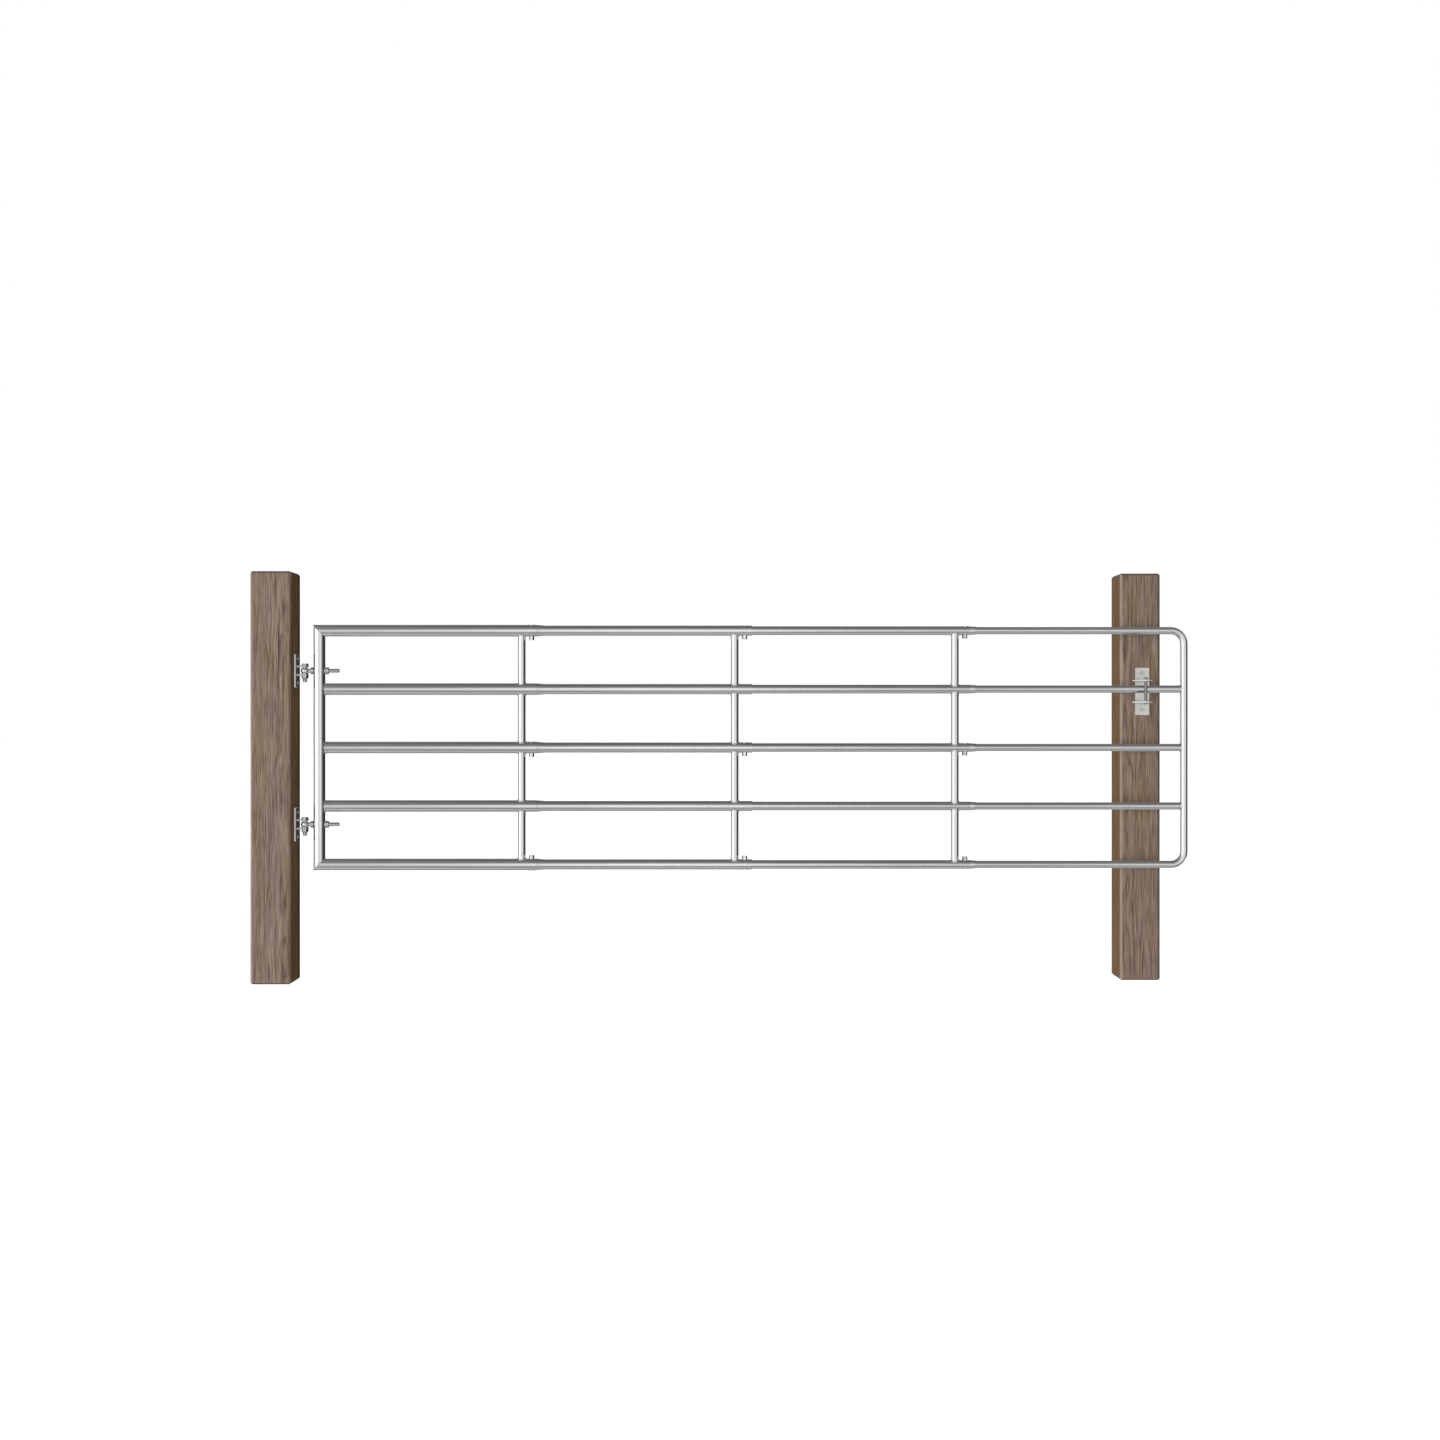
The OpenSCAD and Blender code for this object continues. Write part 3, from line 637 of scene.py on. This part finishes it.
rail_z = [middle("second_" + level).z for level in LEVELS]
tube_r = {section: middle(section + "_rail_3").z - box_of(section + "_rail_3")[0].z
          for section in BRACED + ["end"]}
brace_r = (box_of("first_brace")[1].x - box_of("first_brace")[0].x) / 2
stile_x = middle("heel_stile").x
end_stile_x = box_of("end_loop")[1].x - tube_r["end"]
print("rails at", [round(z, 4) for z in rail_z], "tube radii", {k: round(r, 4) for k, r in tube_r.items()})

# %% The paths of the welds
STEP = 0.95 * MM
PROUD = 0.7 * MM
NUT_FLATS = 17 * MM
BRACE_BEAD = 2.2 * MM
MITRE_BEAD = 1.9 * MM
RAIL_BEAD = 1.2 * MM
NUT_BEAD = 1.1 * MM
HINGE_EAR_BEAD = 1.6 * MM
LATCH_EAR_BEAD = 1.1 * MM
BENT_LONGER = 1.1
MITRE_LONGER = 1.2


def ring_angles(radius, longer):
    """Angles a step apart, round a closed path that is longer than its circle by a factor."""
    count = round(2 * math.pi * radius * longer / STEP)
    return [2 * math.pi * i / count for i in range(count)]


def saddle(x, z, side, post_r, pipe_r):
    """Where an upright tube lands on a level one, above it (side 1) or below it (side -1)."""
    a, b = post_r + PROUD, pipe_r + PROUD
    path = []
    for turn in ring_angles(a, BENT_LONGER):
        y = a * math.sin(turn)
        path.append((x + a * math.cos(turn), y, z + side * math.sqrt(max(0.0, b * b - y * y))))
    return path


def butt(x, z, side, r, reach):
    """Round a level tube's square end, on an upright tube of its size that is reach away at the middle."""
    a = r + PROUD
    path = []
    for turn in ring_angles(a, BENT_LONGER):
        away = RAIL_BEAD + max(reach, a * abs(math.cos(turn)))
        path.append((x + side * away, a * math.sin(turn), z + a * math.cos(turn)))
    return path


def mitre(x, z, slope, r):
    """The sloping ellipse of a corner mitre."""
    a = r - PROUD
    return [(x + slope * a * math.sin(turn), a * math.cos(turn), z + a * math.sin(turn))
            for turn in ring_angles(a, MITRE_LONGER)]


def round_nut(x, z, side, pipe_r):
    """The hexagonal foot of a nut on a level tube."""
    path = []
    for turn in ring_angles(NUT_FLATS / 2, BENT_LONGER):
        a = NUT_FLATS / 2 / math.cos(turn % (math.pi / 3) - math.pi / 6) + PROUD / 2
        y = a * math.sin(turn)
        path.append((x + a * math.cos(turn), y, z + side * math.sqrt((pipe_r + PROUD / 2) ** 2 - y * y)))
    return path


def straight(start, finish):
    """An open path between two points."""
    start, finish = Vector(start), Vector(finish)
    count = round((finish - start).length / STEP)
    return [tuple(start.lerp(finish, i / count)) for i in range(count + 1)]


def outline(corners):
    """A closed path round corners, in order."""
    path = []
    for corner, following in zip(corners, corners[1:] + corners[:1]):
        path += straight(corner, following)[:-1]
    return path


def path_mesh(name, beads):
    """A mesh of edges along every bead's path, open or closed, with the bead's radius on each point."""
    points, edges, radii = [], [], []
    for path, radius, closed in beads:
        first = len(points)
        points += path
        radii += [radius] * len(path)
        edges += [(first + i, first + i + 1) for i in range(len(path) - 1)]
        if closed:
            edges.append((len(points) - 1, first))
    mesh = bpy.data.meshes.new(name)
    mesh.from_pydata(points, edges, [])
    mesh.attributes.new("bead_radius", "FLOAT", "POINT").data.foreach_set("value", radii)
    return mesh


print("a bead's path has a point every", round(STEP / MM, 2), "mm")

# %% Round every joint of the leaf
SCREW_RAILS = ((0, 1), (2, 1), (4, -1))

joints = {"heel_section": [], "second_section": [], "third_section": [], "end_section": []}
for section, body in zip(BRACED, joints):
    brace_at, pipe_r = middle(section + "_brace").x, tube_r[section]
    for upper, lower in zip(rail_z, rail_z[1:]):
        joints[body].append((saddle(brace_at, upper, -1, brace_r, pipe_r), BRACE_BEAD, True))
        joints[body].append((saddle(brace_at, lower, 1, brace_r, pipe_r), BRACE_BEAD, True))
    screw_at = middle(section + "_lock_screws").x
    for level, side in SCREW_RAILS:
        joints[body].append((round_nut(screw_at, rail_z[level], side, pipe_r), NUT_BEAD, True))
heel_reach = box_of("first_rail_3")[0].x - stile_x
end_reach = end_stile_x - box_of("end_rail_3")[1].x
for z in rail_z[1:4]:
    joints["heel_section"].append((butt(stile_x, z, 1, tube_r["first"], heel_reach), RAIL_BEAD, True))
    joints["end_section"].append((butt(end_stile_x, z, -1, tube_r["end"], end_reach), RAIL_BEAD, True))
for z, slope in ((rail_z[0], -1), (rail_z[4], 1)):
    joints["heel_section"].append((mitre(stile_x, z, slope, tube_r["first"]), MITRE_BEAD, True))
print({body: len(beads) for body, beads in joints.items()})

# %% Round the ears on the posts
HINGE_PLATE_T = 6 * MM
HINGE_EAR_T = 5.5 * MM
HINGE_EAR_HALF_W = 13 * MM
HINGE_EAR_GAP = 25.5 * MM
LATCH_EAR_T = 4.5 * MM
LATCH_GAP = 75 * MM
LATCH_PLATE_T = 5 * MM
LATCH_PLATE_HALF_W = 25.5 * MM

ear_beads = []
for node in ("upper_hinge_bracket", "lower_hinge_bracket"):
    low, high = box_of(node)
    face_x, mid_z = low.x + HINGE_PLATE_T + PROUD / 2, (low.z + high.z) / 2
    for side in (-1, 1):
        near = mid_z + side * (HINGE_EAR_GAP / 2 - PROUD / 2)
        far = mid_z + side * (HINGE_EAR_GAP / 2 + HINGE_EAR_T + PROUD / 2)
        half_w = HINGE_EAR_HALF_W + PROUD / 2
        turns = ((-half_w, near), (half_w, near), (half_w, far), (-half_w, far))
        ear_beads.append((outline([(face_x, y, z) for y, z in turns]), HINGE_EAR_BEAD, True))
low, high = box_of("latch_bracket")
latch_at, mid_z = (low.x + high.x) / 2, (low.z + high.z) / 2
face_y = high.y - LATCH_PLATE_T - PROUD / 2
for side in (-1, 1):
    for off in (LATCH_GAP / 2 - PROUD / 2, LATCH_GAP / 2 + LATCH_EAR_T + PROUD / 2):
        z = mid_z + side * off
        ends = [(latch_at + end * LATCH_PLATE_HALF_W, face_y, z) for end in (-1, 1)]
        ear_beads.append((straight(*ends), LATCH_EAR_BEAD, False))
print("ear welds:", len(ear_beads))

# %% The beads
BEAD_SIDES = 6
# Real ripples lie closer together, and are drawn as coarse as they need to be to show
RIPPLE = 3.4 * MM
RIPPLE_DEPTH = 0.09
SWELL_LENGTH = 9 * MM
THINNEST, THICKEST = 0.78, 1.15
WELD_SEED = 3.0

bead, given, end = new_tree("weld_bead", {"Ripple": "Float", "Seed": "Float", "Zinc": "Material"})
run = add(bead, "GeometryNodeMeshToCurve", {"Mesh": given["Geometry"]}).outputs["Curve"]
round_section = add(bead, "GeometryNodeCurvePrimitiveCircle", {"Resolution": BEAD_SIDES, "Radius": 1.0})
bead_radius = add(bead, "GeometryNodeInputNamedAttribute", {"Name": "bead_radius"}).outputs["Attribute"]
travelled = add(bead, "GeometryNodeSplineParameter").outputs["Length"]
phase = maths(bead, "MULTIPLY", maths(bead, "DIVIDE", travelled, given["Ripple"]), 2 * math.pi)
hand = add(bead, "ShaderNodeTexNoise", {"Vector": add(bead, "GeometryNodeInputPosition").outputs["Position"],
                                        "W": given["Seed"], "Scale": 1 / SWELL_LENGTH, "Detail": 2.0},
           noise_dimensions="4D").outputs["Fac"]
swell = add(bead, "ShaderNodeMapRange", {"Value": hand, "From Min": 0.3, "From Max": 0.7, "To Min": THINNEST,
                                         "To Max": THICKEST}).outputs["Result"]
swollen = maths(bead, "MULTIPLY_ADD", maths(bead, "SINE", phase), RIPPLE_DEPTH, swell)
thick = maths(bead, "MULTIPLY", swollen, bead_radius)
swept = add(bead, "GeometryNodeCurveToMesh", {"Curve": run, "Profile Curve": round_section.outputs["Curve"],
                                              "Scale": thick, "Fill Caps": True}).outputs["Mesh"]
finish_tree(bead, swept, given["Zinc"], end)

sizes = {"Ripple": RIPPLE, "Seed": WELD_SEED, "Zinc": galvanised}
for body, beads in joints.items():
    grow(body + "_welds", path_mesh(body + "_weld_paths", beads), bead, sizes, body)
sizes["Zinc"] = galvanised_plate
grow("ear_welds", path_mesh("ear_weld_paths", ear_beads), bead, sizes, "posts")

# %% [markdown]
# ## Threads
# The eye bolts' rods show some 40 mm of thread past the inner nuts, and each hinge bolt a centimetre below
# its own. The eye knows a thread by its toothed outline, which bump can't give. A thread is a ridge wound
# round a bar, so a geometry tree makes a spiral, sweeps a small four-sided section along it and sets one
# copy on each bar. The bar itself stays the CAD solid.

# %% Threads
PITCH = 2 * MM
ROD_R = 7 * MM
ROOT_R = ROD_R - 0.2 * MM
END_TURN = 1.2 * MM
COIL_STEPS = 24
RIDGE = 0.27
RIDGE_SIDES = 4
TAIL = 11 * MM

thread, given, end = new_tree("thread", {"Bar radius": "Float", "Pitch": "Float", "Length": "Float",
                                         "Turn": "Vector", "Plate": "Material"})
turns = maths(thread, "DIVIDE", given["Length"], given["Pitch"])
coil = add(thread, "GeometryNodeCurveSpiral", {"Resolution": COIL_STEPS, "Rotations": turns,
                                               "Start Radius": given["Bar radius"],
                                               "End Radius": given["Bar radius"], "Height": given["Length"]})
ridge_r = maths(thread, "MULTIPLY", given["Pitch"], RIDGE)
ridge = add(thread, "GeometryNodeCurvePrimitiveCircle", {"Resolution": RIDGE_SIDES, "Radius": ridge_r})
wound = add(thread, "GeometryNodeCurveToMesh", {"Curve": coil.outputs["Curve"],
                                                "Profile Curve": ridge.outputs["Curve"],
                                                "Fill Caps": True}).outputs["Mesh"]
turned = add(thread, "FunctionNodeEulerToRotation", {"Euler": given["Turn"]}).outputs["Rotation"]
placed = add(thread, "GeometryNodeInstanceOnPoints", {"Points": given["Geometry"], "Instance": wound,
                                                      "Rotation": turned})
finish_tree(thread, placed.outputs["Instances"], given["Plate"], end)


def start_mesh(name, starts):
    """A mesh of one point where each thread starts."""
    mesh = bpy.data.meshes.new(name)
    mesh.from_pydata(starts, [], [])
    return mesh


nut_end = box_of("eye_bolt_nuts")[1].x
rod_end = box_of("upper_eye_bolt")[1].x - END_TURN
starts = [(nut_end, 0, middle(node).z) for node in ("upper_eye_bolt", "lower_eye_bolt")]
sizes = {"Bar radius": ROOT_R, "Pitch": PITCH, "Length": rod_end - nut_end - PITCH / 2,
         "Turn": (0, math.radians(90), 0), "Plate": plated_thread}
grow("eye_bolt_threads", start_mesh("eye_bolt_thread_starts", starts), thread, sizes, "heel_section")

starts = []
for node in ("upper_hinge_bolt", "lower_hinge_bolt"):
    low, high = box_of(node)
    starts.append(((low.x + high.x) / 2, 0, low.z + END_TURN))
sizes.update({"Length": TAIL - END_TURN, "Turn": (0, 0, 0)})
grow("hinge_bolt_threads", start_mesh("hinge_bolt_thread_starts", starts), thread, sizes, "posts")

# %% [markdown]
# ## Finishes on the solids
# The CAD record gives each solid a slot, and most solids wear that slot's finish. The brackets are duller
# than the tubes, the drop pin is worn, and the lock screws shine like the tubes they stand on. Tubes as
# smooth as these would also show dark lines of one another, which the gate in the picture hasn't got, so
# mirror rays pass the tubes and the pin by, as they pass the posts.

# %% Finishes on the solids
HIGHLIGHT_GAP = 1.5 * MM
SHADE_REACH = 8 * MM
TUBES = ("stile", "loop", "brace", "rail")

slots = {entry["node"]: entry["material_slot"] for entry in frame["record"]["subparts"]}
slot_finish = {"galvanised_steel": galvanised, "zinc_plated_fixings": plated, "timber": None}
own_finish = {"upper_hinge_bracket": galvanised_bracket, "lower_hinge_bracket": galvanised_bracket,
              "latch_bracket": latch_plate, "latch_pin": pin_steel, "first_lock_screws": galvanised,
              "second_lock_screws": galvanised, "third_lock_screws": galvanised}
# The latch ears get a painted highlight, and the hinge plates get painted shade behind the eyes
add_painted_highlight(latch_plate, box_of("latch_bracket")[1].y - LATCH_PLATE_T - HIGHLIGHT_GAP)
add_painted_shade(galvanised_bracket, box_of("upper_hinge_bracket")[0].x + SHADE_REACH)
worn_by = {}
for node, slot in slots.items():
    finish = own_finish.get(node, slot_finish[slot])
    if finish:
        worn_by.setdefault(finish.name, []).append(node)
        for material_slot in frame["nodes"][node].material_slots:
            material_slot.material = finish
    if node == "latch_pin" or any(word in node for word in TUBES):
        frame["nodes"][node].visible_glossy = False
print({name: len(nodes) for name, nodes in worn_by.items()})

# %% [markdown]
# ## Studio
# What gives bare metal its shape is what it reflects, so the light comes from every side with its own
# strength: very bright from the left, bright from the front, dim from above and nearly dark from the right.
# Lamps could do that too, but each would show in the tubes as a spot with a hard edge. Two ramps set the
# light instead, one by the compass direction and one by the height above the horizon. Mirror rays alone
# also meet two pale cards, one high and one low, which keep the tubes from turning black when they are
# seen from the dark side. The floor and the backdrop are plain white to the eye. Light from below passes
# the floor, as if it glowed softly.

# %% Studio light
# A ramp holds levels up to 1, so the light is divided by this scale and multiplied by it at the end
LIGHT_SCALE = 2.5
# Each pair is an angle in degrees and the light from there, round from the camera's side towards +X
COMPASS = [(-180, 0.8), (-150, 0.75), (-134, 0.65), (-118, 0.4), (-104, 0.2), (-96, 0.35), (-88, 1.1),
           (-80, 1.6), (-60, 1.7), (-50, 2.0), (-30, 1.9), (-20, 1.15), (-14, 0.85), (-9, 1.05), (-3, 1.5),
           (1, 1.35), (6, 0.95), (11, 0.85), (18, 1.15), (24, 1.36), (42, 1.1), (50, 0.75), (58, 0.3),
           (75, 0.2), (88, 0.08), (100, 0.04), (134, 0.03), (150, 0.05), (168, 0.1), (180, 0.7)]
# The same by height, from straight below to straight above
HEIGHT = [(-90, 0.6), (-75, 0.68), (-64, 0.64), (-56, 0.40), (-42, 0.36), (-36, 0.52), (-28, 0.74),
          (-17, 0.82), (-15, 1.0), (15, 1.0), (17, 0.60), (26, 0.55), (30, 0.42), (38, 0.36), (44, 0.29),
          (62, 0.27), (75, 0.22), (85, 0.17), (90, 0.16)]
# Straight up and down there is no compass direction, so the light blends to one level there
POLE_LIGHT = 0.9
CARD = 0.75
CARD_FROM, CARD_TO = 11, 23


def from_angles(tree, value, first, last, **ends):
    """A value between two angles in degrees, as a share from 0 to 1 or between the ends given."""
    limits = {"Value": value, "From Min": math.radians(first), "From Max": math.radians(last), **ends}
    return add(tree, "ShaderNodeMapRange", limits).outputs["Result"]


world = bpy.data.worlds.new("studio")
world.use_nodes = True
bpy.context.scene.world = world
tree = world.node_tree
background = tree.nodes["Background"]
sight = add(tree, "ShaderNodeTexCoord").outputs["Generated"]
parts = add(tree, "ShaderNodeSeparateXYZ", {"Vector": sight}).outputs
compass = maths(tree, "ARCTAN2", parts["X"], maths(tree, "MULTIPLY", parts["Y"], -1.0))
rise = maths(tree, "ARCSINE", parts["Z"])
levels = []
for angle, half_turn, stops in ((compass, 180, COMPASS), (rise, 90, HEIGHT)):
    shares = [((place + half_turn) / (2 * half_turn), value / LIGHT_SCALE) for place, value in stops]
    levels.append(ramp(tree, from_angles(tree, angle, -half_turn, half_turn), shares))
round_level, height_level = levels
steepness = maths(tree, "ABSOLUTE", rise)
card = from_angles(tree, steepness, CARD_FROM, CARD_TO, **{"To Max": CARD / LIGHT_SCALE})
rays = add(tree, "ShaderNodeLightPath").outputs
round_light = maths(tree, "MAXIMUM", round_level, maths(tree, "MULTIPLY", card, rays["Is Glossy Ray"]))
light = mix(tree, maths(tree, "COSINE", rise), POLE_LIGHT / LIGHT_SCALE, round_light)
strength = maths(tree, "MULTIPLY", maths(tree, "MULTIPLY", light, height_level), LIGHT_SCALE ** 2)
tree.links.new(strength, background.inputs["Strength"])
background.inputs["Color"].default_value = (1, 1, 1, 1)
seen = add(tree, "ShaderNodeBackground", {"Color": (1, 1, 1, 1), "Strength": 1.0})
lit = add(tree, "ShaderNodeMixShader", {0: rays["Is Camera Ray"], 1: background.outputs["Background"],
                                        2: seen.outputs["Background"]})
tree.links.new(lit.outputs["Shader"], tree.nodes["World Output"].inputs["Surface"])
bpy.context.scene.view_settings.view_transform = "Standard"
print("studio light:", len(COMPASS), "compass stops and", len(HEIGHT), "height stops")

# %% Floor
FLOOR_SIZE = 120.0
FLOOR_GREY = "f2f2f2"
FLOOR_ROUGHNESS = 0.9
FLOOR_GLOW = 0.85

bpy.ops.mesh.primitive_plane_add(size=FLOOR_SIZE)
floor = bpy.context.active_object
floor.name = "floor"
floor_material, tree, shader = new_material("pale_studio_floor")
shader.inputs["Base Color"].default_value = linear(FLOOR_GREY)
shader.inputs["Roughness"].default_value = FLOOR_ROUGHNESS
shader.inputs["Emission Color"].default_value = linear("ffffff")
shader.inputs["Emission Strength"].default_value = FLOOR_GLOW
rays = add(tree, "ShaderNodeLightPath").outputs
clear = add(tree, "ShaderNodeBsdfTransparent")
shown = add(tree, "ShaderNodeMixShader", {0: rays["Is Camera Ray"], 1: clear.outputs["BSDF"],
                                          2: shader.outputs["BSDF"]})
tree.links.new(shown.outputs["Shader"], tree.nodes["Material Output"].inputs["Surface"])
floor.data.materials.append(floor_material)
print("floor", FLOOR_SIZE, "m wide, clear to every ray but the camera's")
